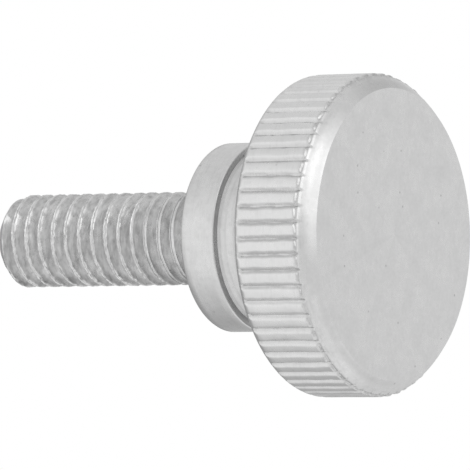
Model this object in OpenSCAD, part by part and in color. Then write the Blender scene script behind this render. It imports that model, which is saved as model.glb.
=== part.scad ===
// Knurled thumb screw, turned from one bar of steel and zinc plated.
// It stands on the flat face of its head: that face is z = 0, the origin is
// its centre, and +Z runs along the axis to the tip of the thread.

/* [Head] */
// Diameter of the knurled head
head_d = 20; // [17:0.5:30]
// Thickness of the knurled head
head_h = 5.5; // [4:0.5:10]
// Chamfer between the flat face and the knurl
face_chamfer = 0.95; // [0.3:0.05:1.5]
// Chamfer at the back of the knurl
rim_chamfer = 0.25; // [0.1:0.05:0.5]

/* [Knurl] */
// Number of straight grooves round the head
knurl_count = 63; // [24:1:72]
// Width of one groove at its mouth
knurl_w = 0.55; // [0.2:0.05:0.65]
// Depth of one groove
knurl_depth = 0.3; // [0.1:0.05:0.5]
// Turn of the whole knurl about the axis, in degrees
knurl_turn = 1; // [0:0.5:15]

/* [Neck] */
// Diameter of the neck between the head and the collar
neck_d = 10.8; // [8:0.2:11.2]
// Length of the neck
neck_h = 4; // [3:0.5:8]
// Radius of the hollow corner where the neck meets the head
neck_fillet = 2.5; // [0.5:0.25:2.75]

/* [Collar] */
// Diameter of the collar that bears on the work
collar_d = 11.8; // [11.4:0.2:14]
// Thickness of the collar
collar_h = 2.5; // [1:0.25:5]
// Chamfer round the seat face of the collar
seat_chamfer = 0.2; // [0.1:0.05:0.4]
// Broken edge at the back of the collar
collar_edge = 0.08; // [0.02:0.02:0.2]

/* [Thread] */
// Outside diameter of the thread
thread_d = 5.9; // [4:0.1:8]
// Length from the seat face to the tip
thread_l = 16; // [6:1:30]
// Pitch, the climb of the right-hand thread in one turn
thread_pitch = 1; // [1:0.25:1.75]
// Depth of the thread from crest to root
thread_depth = 0.62; // [0.3:0.02:0.64]
// Width of the flat on each crest
crest_w = 0.08; // [0.04:0.02:0.08]
// Angle about the axis at which the thread starts its climb
thread_turn = 245; // [0:5:355]
// Plain length that the thread leaves next to the seat face
thread_runout = 0.3; // [0.2:0.1:1.5]
// Chamfer at the tip
tip_chamfer = 0.6; // [0.2:0.1:1]

/* [Hidden] */

head_r = head_d / 2;
neck_r = neck_d / 2;
collar_r = collar_d / 2;
thread_r = thread_d / 2;

collar_z = head_h + neck_h;
seat_z = collar_z + collar_h;
tip_z = seat_z + thread_l;

// A metric thread's flanks stand at 30 degrees to the plane across the axis
flank_slope = tan(30);
// The thread climbs in short steps, one sector of the turn after the other
thread_sectors = 12;
sector_lap = 0.5;

// How far a cutter runs past the surface that it cuts
over = 0.2;
round_fn = 180;

steel = [0.78, 0.79, 0.80];

// Half section of the head: flat face, face chamfer, rim, rim chamfer
module head_section() {
    polygon([
        [0, 0],
        [head_r - face_chamfer, 0],
        [head_r, face_chamfer],
        [head_r, head_h - rim_chamfer],
        [head_r - rim_chamfer, head_h],
        [0, head_h]
    ]);
}

// Half section of the neck, which sweeps out to the head in a hollow curve
module neck_section() {
    sweep_r = neck_r + neck_fillet;
    translate([0, head_h]) {
        square([neck_r, neck_h]);
        difference() {
            square([sweep_r, neck_fillet]);
            translate([sweep_r, neck_fillet]) circle(r = neck_fillet, $fn = 96);
        }
    }
}

// Half section of the collar: back edge, rim, seat face
module collar_section() {
    translate([0, collar_z])
        polygon([
            [0, 0],
            [collar_r - collar_edge, 0],
            [collar_r, collar_edge],
            [collar_r, collar_h - seat_chamfer],
            [collar_r - seat_chamfer, collar_h],
            [0, collar_h]
        ]);
}

// Half section of the shank before it is threaded, chamfered at its tip
module shank_section() {
    translate([0, seat_z])
        polygon([
            [0, 0],
            [thread_r, 0],
            [thread_r, thread_l - tip_chamfer],
            [thread_r - tip_chamfer, thread_l],
            [0, thread_l]
        ]);
}

// The blank as it leaves the lathe, before knurling
module turned_blank() {
    rotate_extrude($fn = round_fn) {
        head_section();
        neck_section();
        collar_section();
        shank_section();
    }
}

// One straight V groove, lying on the rim at angle 0. The V keeps its slope
// where it runs out past the rim.
module knurl_groove() {
    run_out = (knurl_depth + over) / knurl_depth;
    translate([0, 0, -over])
        linear_extrude(height = head_h + 2 * over)
            polygon([
                [head_r - knurl_depth, 0],
                [head_r + over, knurl_w / 2 * run_out],
                [head_r + over, -knurl_w / 2 * run_out]
            ]);
}

// Grooves at even steps round the rim
module knurl() {
    step = 360 / knurl_count;
    for (i = [0 : knurl_count - 1])
        rotate([0, 0, knurl_turn + i * step]) knurl_groove();
}

// Section of the V between two crests, its root at height 0
module thread_v() {
    mouth = (thread_pitch - crest_w) / 2;
    translate([thread_r, 0])
        polygon([
            [-thread_depth, mouth - thread_depth * flank_slope],
            [over, mouth + over * flank_slope],
            [over, -mouth - over * flank_slope],
            [-thread_depth, thread_depth * flank_slope - mouth]
        ]);
}

// Every V along one line of the shank, stopped short of the seat face
module thread_section(rise) {
    intersection() {
        for (z = [seat_z + rise - thread_pitch : thread_pitch : tip_z + thread_pitch])
            translate([0, z]) thread_v();
        translate([0, seat_z + thread_runout])
            square([thread_d, thread_l]);
    }
}

// The sectors overlap a little, so no skin is left between them
module thread() {
    step = 360 / thread_sectors;
    for (i = [0 : thread_sectors - 1])
        rotate([0, 0, thread_turn + i * step])
            rotate_extrude(angle = step + sector_lap, $fn = round_fn)
                thread_section(i / thread_sectors * thread_pitch);
}

module thumb_screw() {
    color(steel)
        difference() {
            turned_blank();
            knurl();
            thread();
        }
}

thumb_screw();
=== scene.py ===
import math

import bmesh
import bpy
from mathutils import Matrix, Vector


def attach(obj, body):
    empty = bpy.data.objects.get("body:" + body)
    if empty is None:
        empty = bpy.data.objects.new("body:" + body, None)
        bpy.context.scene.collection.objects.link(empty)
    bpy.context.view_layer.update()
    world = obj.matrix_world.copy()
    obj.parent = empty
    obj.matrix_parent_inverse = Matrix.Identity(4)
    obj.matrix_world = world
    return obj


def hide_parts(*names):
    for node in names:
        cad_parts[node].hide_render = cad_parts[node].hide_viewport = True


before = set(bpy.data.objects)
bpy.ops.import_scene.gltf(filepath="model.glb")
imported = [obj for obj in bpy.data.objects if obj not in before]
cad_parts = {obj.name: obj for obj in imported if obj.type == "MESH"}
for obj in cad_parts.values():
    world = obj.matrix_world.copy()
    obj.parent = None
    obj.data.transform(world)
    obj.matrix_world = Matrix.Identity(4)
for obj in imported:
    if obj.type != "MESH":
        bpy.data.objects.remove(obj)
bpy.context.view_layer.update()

# ---------------------------------------------------------------------------
# Knurled head. The real one is a disc of free-cutting steel, turned with a
# rounded chamfer on the face side, then pressed by two straight knurling
# wheels that raise broad lands, proud of the chamfer, between narrow grooves.
# ---------------------------------------------------------------------------
MM = 0.001
HEAD_R = 10.0 * MM
HEAD_H = 5.5 * MM
KNURL_COUNT = 63
KNURL_TURN = math.radians(1.0)
GROOVE_DEPTH = 0.22 * MM
# Half a groove: places as shares of the pitch, and how deep it is at each
GROOVE_PROFILE = ((0.0, 1.0), (0.065, 0.84), (0.13, 0.50), (0.19, 0.20), (0.25, 0.05),
                  (0.33, 0.01), (0.5, 0.0))
# How far before the lands end a groove is gone, and where it has its full depth
GROOVE_GONE = 0.05 * MM
GROOVE_FULL = 0.55 * MM
# The turned blank, and the heights between which the lands stand proud of it
BLANK_R = 9.86 * MM
LAND_START = 0.95 * MM
LAND_END = HEAD_H
# A land starts in a tongue and slopes up to its full height. It may start a
# little late or early.
TONGUE = 0.16 * MM
LAND_RISE = 0.15 * MM
LAND_LATE = 0.1 * MM
LAND_EARLY = 0.06 * MM
# Pressed metal is uneven over this length. Edges waver by this share of the
# pitch, and outside KNOCK_R the surface is sunk by up to KNOCK_DEPTH.
WAVER_SIZE = 0.9 * MM
EDGE_WAVER = 0.05
KNOCK_R = 9.15 * MM
KNOCK_DEPTH = 0.012 * MM
# A noise texture seldom gives less or more than this
NOISE_LOW = 0.3
NOISE_HIGH = 0.7
# Columns of points. The neck grows from the head's last ring with fewer.
SAMPLES_PER_GROOVE = 2 * (len(GROOVE_PROFILE) - 1)
HEAD_SAMPLES = KNURL_COUNT * SAMPLES_PER_GROOVE
NECK_SAMPLES = HEAD_SAMPLES // 4
HEAD_RING_R = 8.3 * MM
WELD = 0.001 * MM


def add_node(tree, kind, inputs=None, **settings):
    """Add a node, set its properties, and fill or link its inputs."""
    made = tree.nodes.new(kind)
    for name, value in settings.items():
        setattr(made, name, value)
    for key, value in (inputs or {}).items():
        if isinstance(value, bpy.types.NodeSocket):
            tree.links.new(value, made.inputs[key])
        else:
            made.inputs[key].default_value = value
    return made


def new_form_tree(name, inputs):
    """A Geometry Nodes tree with a mesh in, a mesh out and named inputs."""
    tree = bpy.data.node_groups.new(name, "GeometryNodeTree")
    tree.interface.new_socket("Geometry", in_out="INPUT", socket_type="NodeSocketGeometry")
    for label, kind in inputs.items():
        tree.interface.new_socket(label, in_out="INPUT", socket_type="NodeSocket" + kind)
    tree.interface.new_socket("Geometry", in_out="OUTPUT", socket_type="NodeSocketGeometry")
    return tree, tree.nodes.new("NodeGroupInput").outputs, tree.nodes.new("NodeGroupOutput")


def set_curve(node, points):
    """Give a Float Curve node straight runs through (place, value) points."""
    curve = node.mapping.curves[0].points
    curve[0].location = points[0]
    curve[1].location = points[-1]
    for place, value in points[1:-1]:
        curve.new(place, value)
    for point in curve:
        point.handle_type = "VECTOR"
    node.mapping.update()


def mirrored(half):
    """The points of half a groove pitch, and their mirror image after them."""
    return list(half) + [(1.0 - place, value) for place, value in reversed(half) if place < 0.5]


def outline_object(name, outline):
    """A chain of edges in the XZ plane: x is the radius and z the height."""
    mesh = bpy.data.meshes.new(name)
    edges = [(i, i + 1) for i in range(len(outline) - 1)]
    mesh.from_pydata([(r, 0.0, z) for r, z in outline], edges, [])
    made = bpy.data.objects.new(name, mesh)
    bpy.context.scene.collection.objects.link(made)
    return made


def grown_mesh(base, tree, values):
    """Run a form tree on an object, and return the result as a plain mesh."""
    grow = base.modifiers.new(tree.name, "NODES")
    grow.node_group = tree
    for item in tree.interface.items_tree:
        if item.in_out == "INPUT" and item.name in values:
            grow[item.identifier] = values[item.name]
    ready = base.evaluated_get(bpy.context.evaluated_depsgraph_get())
    mesh = bpy.data.meshes.new_from_object(ready)
    base.modifiers.remove(grow)
    bpy.data.objects.remove(base)
    return mesh


def stretch(start, end, steps):
    """Evenly spaced points after start, up to and including end."""
    return [tuple(a + (b - a) * i / steps for a, b in zip(start, end)) for i in range(1, steps + 1)]


# The whole screw has one plating, described with the finished screw below
zinc = bpy.data.materials.new("bright_zinc_plate")

# One tree turns an outline about Z. It keeps every point inside the limit
# that the knurl leaves: grooves, rounded land ends and slightly uneven metal.
# It can drop columns on its last ring, where the plainer neck takes over.
lathe, lathe_in, lathe_out = new_form_tree("lathe_form", {
    "Samples Round": "Int",
    "Samples Per Groove": "Int",
    "Groove Depth": "Float",
    "Outer Radius": "Float",
    "Blank Radius": "Float",
    "Land Start": "Float",
    "Land End": "Float",
    "Turn": "Float",
    "Last Ring Step": "Int",
    "Unevenness": "Float",
    "Seed": "Float",
    "Material": "Material",
})
size = add_node(lathe, "GeometryNodeAttributeDomainSize", {"Geometry": lathe_in["Geometry"]})
stations = size.outputs["Point Count"]
columns = add_node(lathe, "FunctionNodeIntegerMath", {0: lathe_in["Samples Round"], 1: 1},
                   operation="ADD")
grid = add_node(lathe, "GeometryNodeMeshGrid", {"Vertices X": columns.outputs[0], "Vertices Y": stations})
index = add_node(lathe, "GeometryNodeInputIndex")
column = add_node(lathe, "FunctionNodeIntegerMath", {0: index.outputs[0], 1: stations},
                  operation="DIVIDE")
station = add_node(lathe, "FunctionNodeIntegerMath", {0: index.outputs[0], 1: stations},
                   operation="MODULO")
position = add_node(lathe, "GeometryNodeInputPosition")
outline_point = add_node(lathe, "GeometryNodeSampleIndex", {
    "Geometry": lathe_in["Geometry"], "Value": position.outputs[0], "Index": station.outputs[0]},
    data_type="FLOAT_VECTOR")
radius_height = add_node(lathe, "ShaderNodeSeparateXYZ", {0: outline_point.outputs[0]})
height = radius_height.outputs["Z"]

# Columns crowd into the grooves, where the knurl turns sharply
in_groove = add_node(lathe, "FunctionNodeIntegerMath",
                     {0: column.outputs[0], 1: lathe_in["Samples Per Groove"]}, operation="MODULO")
groove_start = add_node(lathe, "FunctionNodeIntegerMath", {0: column.outputs[0], 1: in_groove.outputs[0]},
                        operation="SUBTRACT")
even_phase = add_node(lathe, "ShaderNodeMath", {0: in_groove.outputs[0], 1: lathe_in["Samples Per Groove"]},
                      operation="DIVIDE")
phase = add_node(lathe, "ShaderNodeFloatCurve", {"Value": even_phase.outputs[0]})
crowd = [(i / SAMPLES_PER_GROOVE, at) for i, (at, depth) in enumerate(GROOVE_PROFILE)]
set_curve(phase, crowd + [(1.0 - place, 1.0 - value) for place, value in reversed(crowd[:-1])])
crowded = add_node(lathe, "ShaderNodeMath", {
    0: phase.outputs[0], 1: lathe_in["Samples Per Groove"], 2: groove_start.outputs[0]},
    operation="MULTIPLY_ADD")
# The last ring keeps every so many columns, at even places
last = add_node(lathe, "FunctionNodeIntegerMath", {0: stations, 1: 1}, operation="SUBTRACT")
is_last = add_node(lathe, "FunctionNodeCompare", {2: station.outputs[0], 3: last.outputs[0]},
                   data_type="INT", operation="EQUAL")
extra = add_node(lathe, "FunctionNodeIntegerMath",
                 {0: column.outputs[0], 1: lathe_in["Last Ring Step"]}, operation="MODULO")
kept = add_node(lathe, "FunctionNodeIntegerMath", {0: column.outputs[0], 1: extra.outputs[0]},
                operation="SUBTRACT")
chosen = add_node(lathe, "GeometryNodeSwitch",
                  {"Switch": is_last.outputs[0], "False": crowded.outputs[0], "True": kept.outputs[0]},
                  input_type="FLOAT")
share = add_node(lathe, "ShaderNodeMath", {0: chosen.outputs[0], 1: lathe_in["Samples Round"]},
                 operation="DIVIDE")
angle = add_node(lathe, "ShaderNodeMath", {0: share.outputs[0], 1: math.tau, 2: lathe_in["Turn"]},
                 operation="MULTIPLY_ADD")
cosine = add_node(lathe, "ShaderNodeMath", {0: angle.outputs[0]}, operation="COSINE")
sine = add_node(lathe, "ShaderNodeMath", {0: angle.outputs[0]}, operation="SINE")

# Pressed metal never flows evenly: edges waver and lands differ a little
free_x = add_node(lathe, "ShaderNodeMath", {0: radius_height.outputs["X"], 1: cosine.outputs[0]},
                  operation="MULTIPLY")
free_y = add_node(lathe, "ShaderNodeMath", {0: radius_height.outputs["X"], 1: sine.outputs[0]},
                  operation="MULTIPLY")
free_point = add_node(lathe, "ShaderNodeCombineXYZ", {
    "X": free_x.outputs[0], "Y": free_y.outputs[0], "Z": height})
waver = add_node(lathe, "ShaderNodeTexNoise", {
    "Vector": free_point.outputs[0], "W": lathe_in["Seed"], "Scale": 1 / WAVER_SIZE, "Detail": 2.0},
    noise_dimensions="4D")
waver_parts = add_node(lathe, "ShaderNodeSeparateXYZ", {0: waver.outputs["Color"]})
sideways = add_node(lathe, "ShaderNodeMapRange", {
    "Value": waver_parts.outputs["X"], "From Min": NOISE_LOW, "From Max": NOISE_HIGH,
    "To Min": -EDGE_WAVER, "To Max": EDGE_WAVER}, clamp=False)
bent_phase = add_node(lathe, "ShaderNodeMath", {0: phase.outputs[0], 1: sideways.outputs[0]},
                      operation="ADD", use_clamp=True)
sunk = add_node(lathe, "ShaderNodeMapRange", {
    "Value": waver_parts.outputs["Y"], "From Min": NOISE_LOW, "From Max": NOISE_HIGH,
    "To Max": lathe_in["Unevenness"]})

# Grooves: a narrow rounded floor, and lands with rounded shoulders
groove_shape = add_node(lathe, "ShaderNodeFloatCurve", {"Value": bent_phase.outputs[0]})
set_curve(groove_shape, mirrored(GROOVE_PROFILE))
# The wheel leaves the rear rim before its teeth are fully in
before_end = add_node(lathe, "ShaderNodeMath", {0: lathe_in["Land End"], 1: height},
                      operation="SUBTRACT")
depth_here = add_node(lathe, "ShaderNodeMapRange", {
    "Value": before_end.outputs[0], "From Min": GROOVE_GONE, "From Max": GROOVE_FULL,
    "To Max": lathe_in["Groove Depth"]}, interpolation_type="SMOOTHSTEP")
cut = add_node(lathe, "ShaderNodeMath", {0: groove_shape.outputs[0], 1: depth_here.outputs[0]},
               operation="MULTIPLY")
groove_limit = add_node(lathe, "ShaderNodeMath", {0: lathe_in["Outer Radius"], 1: cut.outputs[0]},
                        operation="SUBTRACT")
# A land starts in a rounded tongue, and ends at the back of the rim
tongue = add_node(lathe, "ShaderNodeFloatCurve", {"Value": bent_phase.outputs[0]})
set_curve(tongue, mirrored([(0.0, 1.0), (0.1, 0.75), (0.2, 0.36), (0.32, 0.08), (0.5, 0.0)]))
past_even = add_node(lathe, "ShaderNodeMath", {0: height, 1: lathe_in["Land Start"]},
                     operation="SUBTRACT")
uneven_start = add_node(lathe, "ShaderNodeMapRange", {
    "Value": waver_parts.outputs["Z"], "From Min": NOISE_LOW, "From Max": NOISE_HIGH,
    "To Min": -LAND_LATE, "To Max": LAND_EARLY})
past_start = add_node(lathe, "ShaderNodeMath", {0: past_even.outputs[0], 1: uneven_start.outputs[0]},
                      operation="ADD")
off_start = add_node(lathe, "ShaderNodeMath", {
    0: tongue.outputs[0], 1: -TONGUE, 2: past_start.outputs[0]}, operation="MULTIPLY_ADD")
onto_land = add_node(lathe, "ShaderNodeMath", {0: off_start.outputs[0], 1: before_end.outputs[0]},
                     operation="MINIMUM")
rise = add_node(lathe, "ShaderNodeMapRange", {
    "Value": onto_land.outputs[0], "From Max": LAND_RISE})
rise_shape = add_node(lathe, "ShaderNodeFloatCurve", {"Value": rise.outputs[0]})
set_curve(rise_shape, [(0.0, 0.0), (0.25, 0.36), (0.55, 0.80), (0.78, 0.95), (1.0, 1.0)])
front_limit = add_node(lathe, "ShaderNodeMapRange", {
    "Value": rise_shape.outputs[0], "To Min": lathe_in["Blank Radius"],
    "To Max": lathe_in["Outer Radius"]})
limit = add_node(lathe, "ShaderNodeMath", {0: groove_limit.outputs[0], 1: front_limit.outputs[0]},
                 operation="MINIMUM")
within = add_node(lathe, "ShaderNodeMath", {0: radius_height.outputs["X"], 1: limit.outputs[0]},
                  operation="MINIMUM")
# The rim and its chamfer took knocks too, the flat face and the pole did not
on_rim = add_node(lathe, "ShaderNodeMath", {0: radius_height.outputs["X"], 1: KNOCK_R},
                  operation="GREATER_THAN")
knocked = add_node(lathe, "ShaderNodeMath", {0: on_rim.outputs[0], 1: sunk.outputs[0]},
                   operation="MULTIPLY")
inside = add_node(lathe, "ShaderNodeMath", {0: within.outputs[0], 1: knocked.outputs[0]},
                  operation="SUBTRACT")
out_x = add_node(lathe, "ShaderNodeMath", {0: inside.outputs[0], 1: cosine.outputs[0]},
                 operation="MULTIPLY")
out_y = add_node(lathe, "ShaderNodeMath", {0: inside.outputs[0], 1: sine.outputs[0]},
                 operation="MULTIPLY")
turned_point = add_node(lathe, "ShaderNodeCombineXYZ", {
    "X": out_x.outputs[0], "Y": out_y.outputs[0], "Z": height})
turned = add_node(lathe, "GeometryNodeSetPosition", {
    "Geometry": grid.outputs["Mesh"], "Position": turned_point.outputs[0]})
closed = add_node(lathe, "GeometryNodeMergeByDistance", {
    "Geometry": turned.outputs[0], "Distance": WELD})
real = add_node(lathe, "GeometryNodeRealizeInstances", {0: closed.outputs[0]})
dressed = add_node(lathe, "GeometryNodeSetMaterial", {
    "Geometry": real.outputs[0], "Material": lathe_in["Material"]})
lathe.links.new(dressed.outputs[0], lathe_out.inputs[0])

# Radius and height of the flat face, its rounded chamfer and the rim's corner
head_outline = [(r * MM, z * MM) for r, z in (
    (0.0, 0.0), (4.0, 0.0), (8.0, 0.0), (8.9, 0.0), (9.05, 0.0), (9.10, 0.052), (9.24, 0.18),
    (9.37, 0.30), (9.50, 0.44), (9.63, 0.60), (9.74, 0.76), (9.82, 0.87), (9.87, 0.90),
    (10.0, 0.92), (10.0, 0.94), (10.0, 0.965), (10.0, 1.0))]
# Up the rim, with closer rings where the lands start
head_outline += stretch(head_outline[-1], (HEAD_R, 1.3 * MM), 7)
head_outline += stretch(head_outline[-1], (HEAD_R, HEAD_H - 0.5 * MM), 13)
# The knurling rolls the rear edge over, up to 0.07 mm proud of the back
head_outline += [(r * MM, HEAD_H + z * MM) for r, z in (
    (9.98, -0.38), (9.94, -0.27), (9.88, -0.17), (9.80, -0.08), (9.71, -0.01), (9.60, 0.04),
    (9.46, 0.07), (9.3, 0.06))]
head_outline.append((HEAD_RING_R, HEAD_H))

head_mesh = grown_mesh(outline_object("head_outline", head_outline), lathe, {
    "Samples Round": HEAD_SAMPLES, "Samples Per Groove": SAMPLES_PER_GROOVE,
    "Groove Depth": GROOVE_DEPTH, "Outer Radius": HEAD_R, "Blank Radius": BLANK_R,
    "Land Start": LAND_START, "Land End": LAND_END, "Turn": KNURL_TURN,
    "Last Ring Step": HEAD_SAMPLES // NECK_SAMPLES, "Unevenness": KNOCK_DEPTH, "Seed": 1.0,
    "Material": zinc})

# ---------------------------------------------------------------------------
# Neck and collar. They are turned in the same chucking as the head: a waist
# that sweeps out to the back of the head, and a collar whose far side is the
# flat seat that bears on the work.
# ---------------------------------------------------------------------------
NECK_H = 4.0 * MM
NECK_FILLET = 2.5 * MM
WAIST_R = 5.245 * MM
# The waist widens again on a large arc, this far below the collar and up to
# this angle of the arc, and a small step leads into the collar
WAIST_CURVE = 4.0 * MM
WIDENS_BELOW = 1.2 * MM
WAIST_END = 163.5
COLLAR_STEP = 0.03 * MM
COLLAR_R = 5.9 * MM
COLLAR_H = 2.5 * MM
COLLAR_EDGE = 0.13 * MM
SEAT_CHAMFER = 0.2 * MM
# The neck's last ring, on the seat, which the thread grows from
SEAT_RING_R = 3.0 * MM
COLLAR_Z = HEAD_H + NECK_H
SEAT_Z = COLLAR_Z + COLLAR_H


def arc(centre, radius, start, end, steps):
    """Points on an arc, angles in degrees, both ends included."""
    points = []
    for i in range(steps + 1):
        angle = math.radians(start + (end - start) * i / steps)
        points.append((centre[0] + radius * math.cos(angle), centre[1] + radius * math.sin(angle)))
    return points


neck_outline = [(HEAD_RING_R, HEAD_H)]
neck_outline += arc((WAIST_R + NECK_FILLET, HEAD_H + NECK_FILLET), NECK_FILLET, 270, 180, 14)
neck_outline += arc((WAIST_R + WAIST_CURVE, COLLAR_Z - WIDENS_BELOW), WAIST_CURVE, 180, WAIST_END, 4)
neck_outline.append((neck_outline[-1][0] + COLLAR_STEP, COLLAR_Z))
neck_outline += stretch(neck_outline[-1], (COLLAR_R - COLLAR_EDGE, COLLAR_Z), 2)
neck_outline += arc((COLLAR_R - COLLAR_EDGE, COLLAR_Z + COLLAR_EDGE), COLLAR_EDGE, 270, 360, 4)[1:]
neck_outline += stretch(neck_outline[-1], (COLLAR_R, SEAT_Z - SEAT_CHAMFER), 5)
for inward, down in ((0.3, 0.45), (0.7, 0.1), (1.2, 0.0)):
    neck_outline.append((COLLAR_R - inward * SEAT_CHAMFER, SEAT_Z - down * SEAT_CHAMFER))
neck_outline += stretch(neck_outline[-1], (SEAT_RING_R, SEAT_Z), 3)

# It is plain: no grooves, no knocks, and one land that runs past both ends
neck_mesh = grown_mesh(outline_object("neck_outline", neck_outline), lathe, {
    "Samples Round": NECK_SAMPLES, "Samples Per Groove": 1, "Groove Depth": 0.0,
    "Outer Radius": HEAD_R, "Blank Radius": HEAD_R, "Land Start": -1.0, "Land End": 1.0,
    "Turn": KNURL_TURN, "Last Ring Step": 1, "Unevenness": 0.0, "Seed": 2.0, "Material": zinc})

# ---------------------------------------------------------------------------
# Thread. A right-hand M6 x 1 thread, rolled on the shank between two dies: the
# steel flows up into the crests, which close with a seam between ragged lips.
# Near the collar the dies fill less, and the lips stay apart on a flat crest.
# ---------------------------------------------------------------------------
PITCH = 1.0 * MM
CREST_R = 2.95 * MM
PLAIN_R = 2.84 * MM
TIP_R = 2.3 * MM
TIP_Z = 28.0 * MM
# Height of a crest, as a share of the pitch, at angle 0
CREST_PLACE = 0.78
# Over these heights past the seat the plain shank runs into the thread
RUN_OUT_START = 0.6 * MM
RUN_OUT_END = 1.9 * MM
# Up to the first height past the seat the crest is open, from the second full
OPEN_UP_TO = 2.9 * MM
FULL_FROM = 5.6 * MM
# Tears in the lips: their size and depth, how much of it shows where they are
# least, and the heights past the seat where they are least and most
TEAR_SIZE = 0.26 * MM
TEAR_DEPTH = 0.07 * MM
LEAST_TORN = 0.45
LEAST_TORN_AT = 3.0 * MM
MOST_TORN_AT = 9.0 * MM
# Heights this close to an end are moved onto it, and radii this small to 0
SNAP = 0.02 * MM
POLE_R = 0.18 * MM

# Half of the section, from the crest's middle to the root: distance along the
# screw and depth under the crest in mm, on the full crest and on the open one,
# and how far the ragged metal reaches
half_section = ((0.0, 0.045, 0.0, 0.105, 1.0),
                (0.045, 0.035, 0.075, 0.095, 1.0),
                (0.075, 0.0, 0.105, 0.030, 1.0),
                (0.110, 0.008, 0.145, 0.035, 0.8),
                (0.150, 0.075, 0.180, 0.100, 0.3),
                (0.180, 0.135, 0.205, 0.160, 0.0),
                (0.415, 0.56, 0.415, 0.56, 0.0),
                (0.5, 0.62, 0.5, 0.62, 0.0))
rows = [(CREST_R - d1 * MM, -x1 * MM, CREST_R - d2 * MM, -x2 * MM, rag)
        for x1, d1, x2, d2, rag in reversed(half_section)]
rows += [(r1, -z1, r2, -z2, rag) for r1, z1, r2, z2, rag in reversed(rows[1:-1])]
section_base = outline_object("thread_section", [row[:2] for row in rows])
section_base.data.attributes.new("open_crest", "FLOAT_VECTOR", "POINT")
section_base.data.attributes.new("ragged", "FLOAT", "POINT")
for i, (r1, z1, r2, z2, rag) in enumerate(rows):
    section_base.data.attributes["open_crest"].data[i].vector = (r2, 0.0, z2)
    section_base.data.attributes["ragged"].data[i].value = rag

rolled, rolled_in, rolled_out = new_form_tree("rolled_thread_form", {
    "Samples Round": "Int",
    "Pitch": "Float",
    "Turns": "Int",
    "First Crest": "Float",
    "Turn": "Float",
    "Plain Radius": "Float",
    "Tip Radius": "Float",
    "Seat Radius": "Float",
    "Seat Height": "Float",
    "Tip Height": "Float",
    "Raggedness": "Float",
    "Seed": "Float",
    "Material": "Material",
})
size = add_node(rolled, "GeometryNodeAttributeDomainSize", {"Geometry": rolled_in["Geometry"]})
around = size.outputs["Point Count"]
columns = add_node(rolled, "FunctionNodeIntegerMath", {0: rolled_in["Samples Round"], 1: 1},
                   operation="ADD")
stations = add_node(rolled, "FunctionNodeIntegerMath", {0: around, 1: rolled_in["Turns"]},
                    operation="MULTIPLY")
grid = add_node(rolled, "GeometryNodeMeshGrid", {
    "Vertices X": columns.outputs[0], "Vertices Y": stations.outputs[0]})
index = add_node(rolled, "GeometryNodeInputIndex")
column = add_node(rolled, "FunctionNodeIntegerMath", {0: index.outputs[0], 1: stations.outputs[0]},
                  operation="DIVIDE")
station = add_node(rolled, "FunctionNodeIntegerMath", {0: index.outputs[0], 1: stations.outputs[0]},
                   operation="MODULO")
turn_number = add_node(rolled, "FunctionNodeIntegerMath", {0: station.outputs[0], 1: around},
                       operation="DIVIDE")
in_section = add_node(rolled, "FunctionNodeIntegerMath", {0: station.outputs[0], 1: around},
                      operation="MODULO")
share = add_node(rolled, "ShaderNodeMath", {0: column.outputs[0], 1: rolled_in["Samples Round"]},
                 operation="DIVIDE")
angle = add_node(rolled, "ShaderNodeMath", {0: share.outputs[0], 1: math.tau, 2: rolled_in["Turn"]},
                 operation="MULTIPLY_ADD")
cosine = add_node(rolled, "ShaderNodeMath", {0: angle.outputs[0]}, operation="COSINE")
sine = add_node(rolled, "ShaderNodeMath", {0: angle.outputs[0]}, operation="SINE")
turns_up = add_node(rolled, "ShaderNodeMath", {0: turn_number.outputs[0], 1: share.outputs[0]},
                    operation="ADD")
climb = add_node(rolled, "ShaderNodeMath",
                 {0: turns_up.outputs[0], 1: rolled_in["Pitch"], 2: rolled_in["First Crest"]},
                 operation="MULTIPLY_ADD")

# The section at this place: open near the seat, full further on
position = add_node(rolled, "GeometryNodeInputPosition")
full_point = add_node(rolled, "GeometryNodeSampleIndex", {
    "Geometry": rolled_in["Geometry"], "Value": position.outputs[0], "Index": in_section.outputs[0]},
    data_type="FLOAT_VECTOR")
open_place = add_node(rolled, "GeometryNodeInputNamedAttribute", {"Name": "open_crest"},
                      data_type="FLOAT_VECTOR")
open_point = add_node(rolled, "GeometryNodeSampleIndex", {
    "Geometry": rolled_in["Geometry"], "Value": open_place.outputs[0], "Index": in_section.outputs[0]},
    data_type="FLOAT_VECTOR")
rag_place = add_node(rolled, "GeometryNodeInputNamedAttribute", {"Name": "ragged"}, data_type="FLOAT")
rag_share = add_node(rolled, "GeometryNodeSampleIndex", {
    "Geometry": rolled_in["Geometry"], "Value": rag_place.outputs[0], "Index": in_section.outputs[0]},
    data_type="FLOAT")
above_seat = add_node(rolled, "ShaderNodeMath", {0: climb.outputs[0], 1: rolled_in["Seat Height"]},
                      operation="SUBTRACT")
fullness = add_node(rolled, "ShaderNodeMapRange", {
    "Value": above_seat.outputs[0], "From Min": OPEN_UP_TO, "From Max": FULL_FROM})
section_point = add_node(rolled, "ShaderNodeMix", {
    "Factor": fullness.outputs[0], 4: open_point.outputs[0], 5: full_point.outputs[0]}, data_type="VECTOR")
section_parts = add_node(rolled, "ShaderNodeSeparateXYZ", {0: section_point.outputs[1]})

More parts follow.
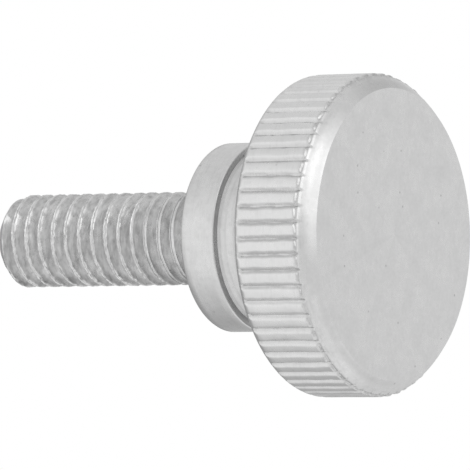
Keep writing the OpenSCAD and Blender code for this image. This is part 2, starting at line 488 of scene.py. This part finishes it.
# Ragged lips, torn more the nearer they are to the tip
crest_x = add_node(rolled, "ShaderNodeMath", {0: cosine.outputs[0], 1: CREST_R}, operation="MULTIPLY")
crest_y = add_node(rolled, "ShaderNodeMath", {0: sine.outputs[0], 1: CREST_R}, operation="MULTIPLY")
free_height = add_node(rolled, "ShaderNodeMath", {0: climb.outputs[0], 1: section_parts.outputs["Z"]},
                       operation="ADD")
crest_point = add_node(rolled, "ShaderNodeCombineXYZ", {
    "X": crest_x.outputs[0], "Y": crest_y.outputs[0], "Z": free_height.outputs[0]})
tear = add_node(rolled, "ShaderNodeTexNoise", {
    "Vector": crest_point.outputs[0], "W": rolled_in["Seed"], "Scale": 1 / TEAR_SIZE, "Detail": 2.0,
    "Roughness": 0.6}, noise_dimensions="4D")
tear_parts = add_node(rolled, "ShaderNodeSeparateXYZ", {0: tear.outputs["Color"]})
wear = add_node(rolled, "ShaderNodeMapRange", {
    "Value": above_seat.outputs[0], "From Min": LEAST_TORN_AT, "From Max": MOST_TORN_AT,
    "To Min": LEAST_TORN})
reach = add_node(rolled, "ShaderNodeMath", {0: wear.outputs[0], 1: rolled_in["Raggedness"]},
                 operation="MULTIPLY")
reach_here = add_node(rolled, "ShaderNodeMath", {0: reach.outputs[0], 1: rag_share.outputs[0]},
                      operation="MULTIPLY")
torn = add_node(rolled, "ShaderNodeMapRange", {
    "Value": tear_parts.outputs["X"], "From Min": 0.42, "From Max": 0.75,
    "To Max": reach_here.outputs[0]})
bend_ratio = add_node(rolled, "ShaderNodeMapRange", {
    "Value": tear_parts.outputs["Y"], "From Min": 0.25, "From Max": 0.75, "To Min": -0.6, "To Max": 0.6})
bent = add_node(rolled, "ShaderNodeMath", {
    0: bend_ratio.outputs[0], 1: reach_here.outputs[0], 2: free_height.outputs[0]}, operation="MULTIPLY_ADD")
torn_radius = add_node(rolled, "ShaderNodeMath", {0: section_parts.outputs["X"], 1: torn.outputs[0]},
                       operation="SUBTRACT")

# Heights close to either end snap to it, so no sliver is left there
near_tip = add_node(rolled, "ShaderNodeMath", {0: rolled_in["Tip Height"], 1: SNAP},
                    operation="SUBTRACT")
is_tip = add_node(rolled, "ShaderNodeMath", {0: bent.outputs[0], 1: near_tip.outputs[0]},
                  operation="GREATER_THAN")
near_seat = add_node(rolled, "ShaderNodeMath", {0: rolled_in["Seat Height"], 1: SNAP},
                     operation="ADD")
is_seat = add_node(rolled, "ShaderNodeMath", {0: bent.outputs[0], 1: near_seat.outputs[0]},
                   operation="LESS_THAN")
to_tip = add_node(rolled, "ShaderNodeMix", {
    "Factor": is_tip.outputs[0], "A": bent.outputs[0], "B": rolled_in["Tip Height"]}, data_type="FLOAT")
height = add_node(rolled, "ShaderNodeMix", {
    "Factor": is_seat.outputs[0], "A": to_tip.outputs[0], "B": rolled_in["Seat Height"]}, data_type="FLOAT")

# The dies stop short of the seat, where the shank stays plain
runs_from = add_node(rolled, "ShaderNodeMath", {0: rolled_in["Seat Height"], 1: RUN_OUT_START},
                     operation="ADD")
runs_to = add_node(rolled, "ShaderNodeMath", {0: rolled_in["Seat Height"], 1: RUN_OUT_END},
                   operation="ADD")
rolled_radius = add_node(rolled, "ShaderNodeMapRange", {
    "Value": height.outputs[0], "From Min": runs_from.outputs[0], "From Max": runs_to.outputs[0],
    "To Min": rolled_in["Plain Radius"], "To Max": torn_radius.outputs[0]}, interpolation_type="SMOOTHSTEP")
# The point of the blank is chamfered at 45 degrees before rolling
below_tip = add_node(rolled, "ShaderNodeMath", {0: rolled_in["Tip Height"], 1: height.outputs[0]},
                     operation="SUBTRACT")
cone = add_node(rolled, "ShaderNodeMath", {0: below_tip.outputs[0], 1: rolled_in["Tip Radius"]},
                operation="ADD")
chamfered = add_node(rolled, "ShaderNodeMath", {0: rolled_radius.outputs[0], 1: cone.outputs[0]},
                     operation="MINIMUM")
# Rows past the ends of the shank close the end face and run out on the seat
past_tip = add_node(rolled, "ShaderNodeMath", {0: free_height.outputs[0], 1: rolled_in["Tip Height"]},
                    operation="SUBTRACT")
over_tip = add_node(rolled, "ShaderNodeMath", {0: past_tip.outputs[0], 1: 0.0}, operation="MAXIMUM")
before_seat = add_node(rolled, "ShaderNodeMath", {0: rolled_in["Seat Height"], 1: free_height.outputs[0]},
                       operation="SUBTRACT")
under_seat = add_node(rolled, "ShaderNodeMath", {0: before_seat.outputs[0], 1: 0.0}, operation="MAXIMUM")
shrunk = add_node(rolled, "ShaderNodeMath", {0: chamfered.outputs[0], 1: over_tip.outputs[0]},
                  operation="SUBTRACT")
spread = add_node(rolled, "ShaderNodeMath", {0: shrunk.outputs[0], 1: under_seat.outputs[0]},
                  operation="ADD")
clamped = add_node(rolled, "ShaderNodeClamp", {
    "Value": spread.outputs[0], "Min": 0.0, "Max": rolled_in["Seat Radius"]})
off_pole = add_node(rolled, "ShaderNodeMath", {0: clamped.outputs[0], 1: POLE_R},
                    operation="GREATER_THAN")
radius = add_node(rolled, "ShaderNodeMath", {0: clamped.outputs[0], 1: off_pole.outputs[0]},
                  operation="MULTIPLY")
out_x = add_node(rolled, "ShaderNodeMath", {0: radius.outputs[0], 1: cosine.outputs[0]},
                 operation="MULTIPLY")
out_y = add_node(rolled, "ShaderNodeMath", {0: radius.outputs[0], 1: sine.outputs[0]},
                 operation="MULTIPLY")
rolled_point = add_node(rolled, "ShaderNodeCombineXYZ", {
    "X": out_x.outputs[0], "Y": out_y.outputs[0], "Z": height.outputs[0]})
wound = add_node(rolled, "GeometryNodeSetPosition", {
    "Geometry": grid.outputs["Mesh"], "Position": rolled_point.outputs[0]})
closed = add_node(rolled, "GeometryNodeMergeByDistance", {
    "Geometry": wound.outputs[0], "Distance": WELD})
real = add_node(rolled, "GeometryNodeRealizeInstances", {0: closed.outputs[0]})
dressed = add_node(rolled, "GeometryNodeSetMaterial", {
    "Geometry": real.outputs[0], "Material": rolled_in["Material"]})
rolled.links.new(dressed.outputs[0], rolled_out.inputs[0])

# The first turn is low enough for the rows that run out on the seat, and the
# last one high enough for those that close the end face
run_on_seat = SEAT_RING_R - PLAIN_R
lowest = SEAT_Z - run_on_seat - 1.5 * PITCH
first_crest = math.floor(lowest / PITCH) * PITCH + CREST_PLACE * PITCH + KNURL_TURN / math.tau * PITCH
turns = math.ceil((TIP_Z + TIP_R - first_crest) / PITCH) + 1
thread_mesh = grown_mesh(section_base, rolled, {
    "Samples Round": NECK_SAMPLES, "Pitch": PITCH, "Turns": turns, "First Crest": first_crest,
    "Turn": KNURL_TURN, "Plain Radius": PLAIN_R, "Tip Radius": TIP_R, "Seat Radius": SEAT_RING_R,
    "Seat Height": SEAT_Z, "Tip Height": TIP_Z, "Raggedness": TEAR_DEPTH, "Seed": 3.0,
    "Material": zinc})

# ---------------------------------------------------------------------------
# The finished screw. One solid piece of steel from the head to the tip, so
# the three stretches are welded into one closed skin, and plated all over.
# ---------------------------------------------------------------------------
SKIN_WELD = 0.002 * MM
SLIVER = 0.0005 * MM
SHARP_EDGE = math.radians(40)

skin = bmesh.new()
for stretch_mesh in (head_mesh, neck_mesh, thread_mesh):
    skin.from_mesh(stretch_mesh)
bmesh.ops.remove_doubles(skin, verts=skin.verts[:], dist=SKIN_WELD)
bmesh.ops.dissolve_degenerate(skin, edges=skin.edges[:], dist=SLIVER)
bmesh.ops.recalc_face_normals(skin, faces=skin.faces[:])
mesh = bpy.data.meshes.new("thumb_screw_skin")
skin.to_mesh(mesh)
skin.free()
for polygon in mesh.polygons:
    polygon.use_smooth = True
mesh.set_sharp_from_angle(angle=SHARP_EDGE)
screw = bpy.data.objects.new("thumb_screw_skin", mesh)
bpy.context.scene.collection.objects.link(screw)


def linear(hex_colour):
    """An sRGB hex colour as linear RGBA."""
    parts = [int(hex_colour[i:i + 2], 16) / 255 for i in (1, 3, 5)]
    return [c / 12.92 if c <= 0.04045 else ((c + 0.055) / 1.055) ** 2.4 for c in parts] + [1.0]


# Bright zinc plate on turned and rolled steel: a pale, neutral metal, more
# satin than mirror, clouded where the plating grew thicker, with fine crystals
# and small pits. Plated zinc keeps a trace of the tool marks under it.
PLATE_DARK = linear("#d1d1d1")
PLATE_LIGHT = linear("#dfdfdf")
PLATE_ROUGH = 0.32
PLATE_SMOOTH = 0.25
CLOUD_SIZE = 1.6 * MM
GRAIN_SIZE = 0.3 * MM
GRAIN_IN_COLOUR = 0.45
GRAIN_BUMP = 0.01 * MM
# Pits lie in the cells that draw more than PITS_IN. Their dark core and their
# rim are shares of a cell.
PIT_DIRT = linear("#7e7e7e")
PIT_CELL = 0.9 * MM
PIT_CORE = 0.05
PIT_RIM = 0.11
PITS_IN = 0.62
PIT_SHOWS = 0.45
# Streaks are this wide, and longer by one over the squeeze, about 0.9 mm
STREAK_WIDTH = 0.11 * MM
STREAK_SQUEEZE = 0.12
STREAK_BUMP = 0.02 * MM
SCUFF_SIZE = 0.5 * MM
SCUFF_DIRT = linear("#a2a2a2")
# How strongly scuffs show on the head, on the neck and collar, on the thread,
# and on the chamfer beside the lands
SCUFF_HEAD = 0.06
SCUFF_NECK = 0.2
SCUFF_THREAD = 0.55
SCUFF_LANDS = 0.3
SCUFF_BLEND = 0.1 * MM
# On the chamfer they grow between these radii
SCUFF_FROM_R = 9.25 * MM
SCUFF_TO_R = 9.75 * MM
# Tool marks: how far apart they are, and how they show on the waist
MARK_SPACING = 0.3 * MM
MARK_BUMP = 0.04 * MM
MARK_DARK = linear("#a6a6a6")
MARK_SHOWS = 0.40
MARK_SHOWS_ON_COLLAR = 0.10
# The rim lies outside RIM_R, and its knurl above KNURL_Z. Between these radii the
# painted light on a land turns into the painted shade of a groove.
RIM_R = 9.4 * MM
KNURL_Z = 1.0 * MM
LAND_PAINTED_LIGHT_R = 9.965 * MM
GROOVE_PAINTED_SHADE_R = 9.80 * MM
LAND_PAINTED_LIGHT = linear("#e6e6e6")
GROOVE_PAINTED_SHADE = linear("#cfcfcf")
KNURL_PAINTED_SHOWS = 0.5
# Scratches, streaks and the painted highlight on the crests start at this height
DIES_Z = SEAT_Z + 1.0 * MM
SCRATCH_DIRT = linear("#a8a8a8")
SCRATCH_BARE = linear("#fcfcfc")
SCRATCH_SHOWS = 0.2
CREST_PAINTED_HIGHLIGHT = linear("#f0f0f0")
CREST_HIGHLIGHT_SHOWS = 0.35
# Heights between which the painted shade at the starts of the lands fades in and out
LAND_START_SHADE_IN = (0.90 * MM, 0.97 * MM)
LAND_START_SHADE_OUT = (1.05 * MM, 1.25 * MM)
LAND_START_SHADE_TONE = linear("#a4a4a4")
LAND_START_SHADE_SHOWS = 0.6

zinc.use_nodes = True
tree = zinc.node_tree
shader = tree.nodes["Principled BSDF"]
shader.inputs["Metallic"].default_value = 1.0
place = add_node(tree, "ShaderNodeTexCoord")
# Clouds in the plating
clouds = add_node(tree, "ShaderNodeTexNoise", {
    "Vector": place.outputs["Object"], "Scale": 1 / CLOUD_SIZE, "Detail": 3.0, "Roughness": 0.6})
cloud_share = add_node(tree, "ShaderNodeMapRange", {
    "Value": clouds.outputs["Fac"], "From Min": NOISE_LOW, "From Max": NOISE_HIGH})
# Crystals and stains. Real crystals are finer: these are as coarse as they need
# to be to show in a render
grains = add_node(tree, "ShaderNodeTexNoise", {
    "Vector": place.outputs["Object"], "Scale": 1 / GRAIN_SIZE, "Detail": 3.0, "Roughness": 0.7})
grain_share = add_node(tree, "ShaderNodeMapRange", {
    "Value": grains.outputs["Fac"], "From Min": NOISE_LOW, "From Max": NOISE_HIGH})
spread_share = add_node(tree, "ShaderNodeMix", {
    "Factor": GRAIN_IN_COLOUR, "A": cloud_share.outputs[0], "B": grain_share.outputs[0]},
    data_type="FLOAT")
roughness = add_node(tree, "ShaderNodeMapRange", {
    "Value": spread_share.outputs[0], "To Min": PLATE_ROUGH, "To Max": PLATE_SMOOTH})
tree.links.new(roughness.outputs[0], shader.inputs["Roughness"])
colour = add_node(tree, "ShaderNodeMix", {
    "Factor": spread_share.outputs[0], 6: PLATE_DARK, 7: PLATE_LIGHT}, data_type="RGBA")
# Small pits that hold a little dirt, up to 0.2 mm across and some 3 mm apart
pits = add_node(tree, "ShaderNodeTexVoronoi", {
    "Vector": place.outputs["Object"], "Scale": 1 / PIT_CELL}, feature="F1")
pit_share = add_node(tree, "ShaderNodeMapRange", {
    "Value": pits.outputs["Distance"], "From Min": PIT_CORE, "From Max": PIT_RIM,
    "To Min": 1.0, "To Max": 0.0})
pit_pick = add_node(tree, "ShaderNodeSeparateColor", {"Color": pits.outputs["Color"]})
pit_here = add_node(tree, "ShaderNodeMath", {0: pit_pick.outputs["Red"], 1: PITS_IN},
                    operation="GREATER_THAN")
pit_dark = add_node(tree, "ShaderNodeMath", {0: pit_share.outputs[0], 1: pit_here.outputs[0]},
                    operation="MULTIPLY")
pit_amount = add_node(tree, "ShaderNodeMath", {0: pit_dark.outputs[0], 1: PIT_SHOWS},
                      operation="MULTIPLY")
pitted = add_node(tree, "ShaderNodeMix", {
    "Factor": pit_amount.outputs[0], 6: colour.outputs[2], 7: PIT_DIRT}, data_type="RGBA")
# The dies leave the thread's skin scuffed: dark streaks round the screw, wider
# than real ones, so that they show in a render
parts = add_node(tree, "ShaderNodeSeparateXYZ", {0: place.outputs["Object"]})
flat_place = add_node(tree, "ShaderNodeCombineXYZ", {"X": parts.outputs["X"], "Y": parts.outputs["Y"]})
from_axis = add_node(tree, "ShaderNodeVectorMath", {0: flat_place.outputs[0]}, operation="LENGTH")
along = add_node(tree, "ShaderNodeMapping", {
    "Vector": place.outputs["Object"], "Scale": (STREAK_SQUEEZE, STREAK_SQUEEZE, 1.0)})
streaks = add_node(tree, "ShaderNodeTexNoise", {
    "Vector": along.outputs[0], "Scale": 1 / STREAK_WIDTH, "Detail": 3.0, "Roughness": 0.65})
scuffs = add_node(tree, "ShaderNodeTexNoise", {
    "Vector": place.outputs["Object"], "Scale": 1 / SCUFF_SIZE, "Detail": 4.0, "Roughness": 0.7})
scuff_total = add_node(tree, "ShaderNodeMath", {
    0: streaks.outputs["Fac"], 1: scuffs.outputs["Fac"]}, operation="ADD")
# The two noises add up to 1 on average, and the low places are the scuffed ones
scuff_share = add_node(tree, "ShaderNodeMapRange", {
    "Value": scuff_total.outputs[0], "From Min": 1.04, "From Max": 0.68})
past_head = add_node(tree, "ShaderNodeMapRange", {
    "Value": parts.outputs["Z"], "From Min": HEAD_H, "From Max": HEAD_H + SCUFF_BLEND,
    "To Min": SCUFF_HEAD, "To Max": SCUFF_NECK})
on_thread = add_node(tree, "ShaderNodeMapRange", {
    "Value": parts.outputs["Z"], "From Min": SEAT_Z, "From Max": SEAT_Z + SCUFF_BLEND,
    "To Min": past_head.outputs[0], "To Max": SCUFF_THREAD})
# The wheel's edge scuffed the chamfer beside the lands as well
near_lands = add_node(tree, "ShaderNodeMapRange", {
    "Value": from_axis.outputs["Value"], "From Min": SCUFF_FROM_R, "From Max": SCUFF_TO_R,
    "To Max": SCUFF_LANDS})
scuff_place = add_node(tree, "ShaderNodeMath", {0: on_thread.outputs[0], 1: near_lands.outputs[0]},
                       operation="MAXIMUM")
scuff_amount = add_node(tree, "ShaderNodeMath", {0: scuff_share.outputs[0], 1: scuff_place.outputs[0]},
                        operation="MULTIPLY")
scuffed = add_node(tree, "ShaderNodeMix", {
    "Factor": scuff_amount.outputs[0], 6: pitted.outputs[2], 7: SCUFF_DIRT}, data_type="RGBA")
# Tool marks follow the lathe: they change along the axis and the radius only
mark_place = add_node(tree, "ShaderNodeCombineXYZ", {
    "X": from_axis.outputs["Value"], "Y": parts.outputs["Z"]})
marks = add_node(tree, "ShaderNodeTexNoise", {
    "Vector": mark_place.outputs[0], "Scale": 1 / MARK_SPACING, "Detail": 2.0, "Roughness": 0.6},
    noise_dimensions="2D")
# Only the waist keeps them plainly; knurl and thread were pressed after turning
neck_low = add_node(tree, "ShaderNodeMapRange", {
    "Value": parts.outputs["Z"], "From Min": HEAD_H - 0.2 * MM, "From Max": HEAD_H + 0.2 * MM})
neck_high = add_node(tree, "ShaderNodeMapRange", {
    "Value": parts.outputs["Z"], "From Min": COLLAR_Z - 0.15 * MM, "From Max": COLLAR_Z + 0.05 * MM,
    "To Min": 1.0, "To Max": MARK_SHOWS_ON_COLLAR})
on_neck = add_node(tree, "ShaderNodeMath", {0: neck_low.outputs[0], 1: neck_high.outputs[0]},
                   operation="MULTIPLY")
mark_share = add_node(tree, "ShaderNodeMapRange", {
    "Value": marks.outputs["Fac"], "From Min": 0.58, "From Max": 0.38, "To Max": MARK_SHOWS})
mark_dark = add_node(tree, "ShaderNodeMath", {0: mark_share.outputs[0], 1: on_neck.outputs[0]},
                     operation="MULTIPLY")
marked = add_node(tree, "ShaderNodeMix", {
    "Factor": mark_dark.outputs[0], 6: scuffed.outputs[2], 7: MARK_DARK}, data_type="RGBA")
# Painted light and shade on the knurl: lands painted lighter for the light on them, grooves darker for the
# shade in them
in_groove = add_node(tree, "ShaderNodeMapRange", {
    "Value": from_axis.outputs["Value"], "From Min": LAND_PAINTED_LIGHT_R, "From Max": GROOVE_PAINTED_SHADE_R})
past_chamfer = add_node(tree, "ShaderNodeMath", {0: parts.outputs["Z"], 1: KNURL_Z},
                        operation="GREATER_THAN")
at_rim = add_node(tree, "ShaderNodeMath", {0: from_axis.outputs["Value"], 1: RIM_R},
                  operation="GREATER_THAN")
on_knurl = add_node(tree, "ShaderNodeMath", {0: past_chamfer.outputs[0], 1: at_rim.outputs[0]},
                    operation="MULTIPLY")
knurl_painted_light_and_shade = add_node(tree, "ShaderNodeMix", {
    "Factor": in_groove.outputs[0], 6: LAND_PAINTED_LIGHT, 7: GROOVE_PAINTED_SHADE}, data_type="RGBA")
knurl_painted_share = add_node(tree, "ShaderNodeMath", {0: on_knurl.outputs[0], 1: KNURL_PAINTED_SHOWS},
                       operation="MULTIPLY")
knurl_painted = add_node(tree, "ShaderNodeMix", {
    "Factor": knurl_painted_share.outputs[0], 6: marked.outputs[2], 7: knurl_painted_light_and_shade.outputs[2]}, data_type="RGBA")
# Fine scratches from the dies, some bare and bright and some holding dirt
past_seat = add_node(tree, "ShaderNodeMath", {0: parts.outputs["Z"], 1: DIES_Z},
                     operation="GREATER_THAN")
scratch = add_node(tree, "ShaderNodeMapRange", {
    "Value": streaks.outputs["Fac"], "From Min": 0.38, "From Max": 0.62})
scratch_tone = add_node(tree, "ShaderNodeMix", {
    "Factor": scratch.outputs[0], 6: SCRATCH_DIRT, 7: SCRATCH_BARE}, data_type="RGBA")
scratch_share = add_node(tree, "ShaderNodeMath", {0: past_seat.outputs[0], 1: SCRATCH_SHOWS},
                         operation="MULTIPLY")
scratched = add_node(tree, "ShaderNodeMix", {
    "Factor": scratch_share.outputs[0], 6: knurl_painted.outputs[2], 7: scratch_tone.outputs[2]},
    data_type="RGBA")
# Painted highlight: the crests of the thread are painted lighter
at_crest_highlight = add_node(tree, "ShaderNodeMapRange", {
    "Value": from_axis.outputs["Value"], "From Min": CREST_R - 0.06 * MM,
    "From Max": CREST_R - 0.01 * MM, "To Max": CREST_HIGHLIGHT_SHOWS})
in_thread = add_node(tree, "ShaderNodeMath", {0: from_axis.outputs["Value"], 1: SEAT_RING_R},
                     operation="LESS_THAN")
on_shank = add_node(tree, "ShaderNodeMath", {0: past_seat.outputs[0], 1: in_thread.outputs[0]},
                    operation="MULTIPLY")
crest_highlight_share = add_node(tree, "ShaderNodeMath", {0: at_crest_highlight.outputs[0], 1: on_shank.outputs[0]},
                       operation="MULTIPLY")
crest_highlighted = add_node(tree, "ShaderNodeMix", {
    "Factor": crest_highlight_share.outputs[0], 6: scratched.outputs[2], 7: CREST_PAINTED_HIGHLIGHT}, data_type="RGBA")
# Painted shade at the start of each land, patchy with the grain, which dims the highlights there
start_shade_low = add_node(tree, "ShaderNodeMapRange", {
    "Value": parts.outputs["Z"], "From Min": LAND_START_SHADE_IN[0], "From Max": LAND_START_SHADE_IN[1],
    "To Max": grain_share.outputs[0]})
start_shade_high = add_node(tree, "ShaderNodeMapRange", {
    "Value": parts.outputs["Z"], "From Min": LAND_START_SHADE_OUT[0], "From Max": LAND_START_SHADE_OUT[1],
    "To Min": 1.0, "To Max": 0.0})
start_shade = add_node(tree, "ShaderNodeMath", {0: start_shade_low.outputs[0], 1: start_shade_high.outputs[0]},
                 operation="MULTIPLY")
start_shade_place = add_node(tree, "ShaderNodeMath", {0: start_shade.outputs[0], 1: at_rim.outputs[0]},
                       operation="MULTIPLY")
start_shade_share = add_node(tree, "ShaderNodeMath", {0: start_shade_place.outputs[0], 1: LAND_START_SHADE_SHOWS},
                       operation="MULTIPLY")
start_shaded = add_node(tree, "ShaderNodeMix", {
    "Factor": start_shade_share.outputs[0], 6: crest_highlighted.outputs[2], 7: LAND_START_SHADE_TONE}, data_type="RGBA")
tree.links.new(start_shaded.outputs[2], shader.inputs["Base Color"])
# Tool marks on the neck, streaks on the thread and grain all over are also felt
mark_bump = add_node(tree, "ShaderNodeBump", {
    "Height": marks.outputs["Fac"], "Strength": on_neck.outputs[0], "Distance": MARK_BUMP})
streak_strength = add_node(tree, "ShaderNodeMath", {0: past_seat.outputs[0], 1: 0.6},
                           operation="MULTIPLY")
streak_bump = add_node(tree, "ShaderNodeBump", {
    "Height": streaks.outputs["Fac"], "Strength": streak_strength.outputs[0], "Distance": STREAK_BUMP,
    "Normal": mark_bump.outputs[0]})
grain_bump = add_node(tree, "ShaderNodeBump", {
    "Height": grains.outputs["Fac"], "Strength": 0.25, "Distance": GRAIN_BUMP,
    "Normal": streak_bump.outputs[0]})
tree.links.new(grain_bump.outputs[0], shader.inputs["Normal"])
mesh.materials.append(zinc)
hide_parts("thumb_screw")
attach(screw, "root")

# ---------------------------------------------------------------------------
# Floor. A sheet of white paper under the flat of the head, which fades out
# away from the screw. Only its upper side shows, so it never stands between the
# screw and a lower camera.
# ---------------------------------------------------------------------------
FLOOR_HALF = 80.0 * MM
FLOOR_Z = -0.05 * MM
FADE_START = 15.0 * MM
FADE_END = 60.0 * MM
PAPER_WHITE = linear("#f4f4f4")
PAPER_GLOW = 0.2
FLOOR_CORNERS = [(x * FLOOR_HALF, y * FLOOR_HALF, FLOOR_Z) for x, y in ((-1, -1), (1, -1), (1, 1), (-1, 1))]

floor_mesh = bpy.data.meshes.new("paper_floor")
floor_mesh.from_pydata(FLOOR_CORNERS, [], [(0, 1, 2, 3)])
floor = bpy.data.objects.new("paper_floor", floor_mesh)
bpy.context.scene.collection.objects.link(floor)
paper = bpy.data.materials.new("matt_white_paper")
paper.use_nodes = True
tree = paper.node_tree
paper_out = tree.nodes["Material Output"]
tree.nodes.remove(tree.nodes["Principled BSDF"])
matt = add_node(tree, "ShaderNodeBsdfDiffuse", {"Color": PAPER_WHITE})
glow = add_node(tree, "ShaderNodeEmission", {"Color": linear("#ffffff"), "Strength": PAPER_GLOW})
bright = add_node(tree, "ShaderNodeAddShader", {0: matt.outputs[0], 1: glow.outputs[0]})
clear = add_node(tree, "ShaderNodeBsdfTransparent")
place = add_node(tree, "ShaderNodeTexCoord")
from_screw = add_node(tree, "ShaderNodeVectorMath", {0: place.outputs["Object"]}, operation="LENGTH")
far = add_node(tree, "ShaderNodeMapRange", {
    "Value": from_screw.outputs["Value"], "From Min": FADE_START, "From Max": FADE_END},
    interpolation_type="SMOOTHSTEP")
side = add_node(tree, "ShaderNodeNewGeometry")
unseen = add_node(tree, "ShaderNodeMath", {0: far.outputs[0], 1: side.outputs["Backfacing"]},
                  operation="MAXIMUM")
one_sided = add_node(tree, "ShaderNodeMixShader", {
    0: unseen.outputs[0], 1: bright.outputs[0], 2: clear.outputs[0]})
tree.links.new(one_sided.outputs[0], paper_out.inputs["Surface"])
floor_mesh.materials.append(paper)
# It is only looked at: it neither lights the screw nor shades it
for ray in ("diffuse", "glossy", "transmission", "volume_scatter", "shadow"):
    setattr(floor, "visible_" + ray, False)

# ---------------------------------------------------------------------------
# Camera. It looks at the flat of the head from its front quarter, which is from
# below the floor that the screw stands on.
# ---------------------------------------------------------------------------
# Angle between the line of sight and the screw's axis, and the axis's tilt
AXIS_ANGLE = math.radians(57.2)
ROLL = math.radians(1.03)
# Distance to the part, and how far its origin lies off the middle of the view
DISTANCE = 438.9 * MM
ASIDE = 9.83 * MM
ABOVE = 0.015 * MM
# Pixels in a metre at that distance, pixels in the width, sensor width in mm
SCALE = 16.235 / MM
IMAGE = 470
SENSOR = 36.0

toward_head = Vector((math.sin(AXIS_ANGLE) * math.cos(ROLL), math.sin(AXIS_ANGLE) * math.sin(ROLL),
                      math.cos(AXIS_ANGLE)))
part_x = Vector((-math.sin(ROLL), math.cos(ROLL), 0.0))
part_z = -toward_head
part_y = part_z.cross(part_x)
# Rows are the part's axes in the camera's frame, so this turns camera to part
camera_turn = Matrix((part_x, part_y, part_z))
camera_place = camera_turn @ Vector((-ASIDE, -ABOVE, DISTANCE))
lens = bpy.data.cameras.new("camera")
lens.sensor_width = SENSOR
lens.lens = SCALE * DISTANCE * SENSOR / IMAGE
lens.clip_start = 0.01
lens.clip_end = 20.0
camera = bpy.data.objects.new("camera", lens)
camera.matrix_world = Matrix.Translation(camera_place) @ camera_turn.to_4x4()
bpy.context.scene.collection.objects.link(camera)
bpy.context.scene.camera = camera

# ---------------------------------------------------------------------------
# Studio light. A white tent all round, with soft lamps behind its cloth above
# and beside the camera, and darker where its far side and its opening are.
# ---------------------------------------------------------------------------
def seen_from_camera(right, up, near):
    """A direction given as the camera sees it, in the part's own axes."""
    return (camera_turn @ Vector((right, up, near))).normalized()


TENT = 0.80
# Lamps and dark places in the tent: direction as the camera sees it, degrees
# within which it is full and beyond which it is nothing, and the light it adds
TENT_PATCHES = (
    ((0.26, 0.39, 0.88), 3, 18, 0.56),
    ((0.32, 0.70, 0.64), 3, 18, 0.89),
    ((0.47, 0.10, 0.88), 3, 16, 0.30),
    ((0.53, 0.77, 0.36), 3, 18, 0.30),
    ((0.60, -0.56, 0.57), 5, 32, 0.14),
    ((0.60, -0.79, -0.06), 5, 30, 0.20),
    ((0.87, 0.19, 0.46), 5, 35, 1.20),
    ((0.92, 0.08, -0.38), 5, 35, 0.41),
    ((-0.95, -0.04, 0.30), 10, 60, 0.21),
    ((-0.05, -0.97, 0.22), 10, 60, 0.09),
    ((0.98, -0.13, 0.14), 10, 60, -0.42),
    ((0.87, -0.46, -0.18), 5, 35, -0.20),
    ((0.65, 0.49, -0.58), 5, 35, -0.20),
    ((-0.60, -0.31, -0.74), 10, 60, -0.42),
)
world = bpy.data.worlds.new("studio")
bpy.context.scene.world = world
world.use_nodes = True
tree = world.node_tree
background = tree.nodes["Background"]
background.inputs["Color"].default_value = (1.0, 1.0, 1.0, 1.0)
coordinates = add_node(tree, "ShaderNodeTexCoord")
level = TENT
for direction, full, end, gain in TENT_PATCHES:
    facing = add_node(tree, "ShaderNodeVectorMath", {
        0: coordinates.outputs["Generated"], 1: seen_from_camera(*direction)}, operation="DOT_PRODUCT")
    patch = add_node(tree, "ShaderNodeMapRange", {
        "Value": facing.outputs["Value"], "From Min": math.cos(math.radians(end)),
        "From Max": math.cos(math.radians(full)), "To Max": gain},
        interpolation_type="SMOOTHSTEP")
    total = add_node(tree, "ShaderNodeMath", {0: patch.outputs[0], 1: level}, operation="ADD")
    level = total.outputs[0]
# The tent's cloth is burnt out to white where the camera sees it directly
rays = add_node(tree, "ShaderNodeLightPath")
shown = add_node(tree, "ShaderNodeMix", {
    "Factor": rays.outputs["Is Camera Ray"], "A": level, "B": 1.0}, data_type="FLOAT")
tree.links.new(shown.outputs[0], background.inputs["Strength"])
bpy.context.scene.view_settings.view_transform = "Standard"
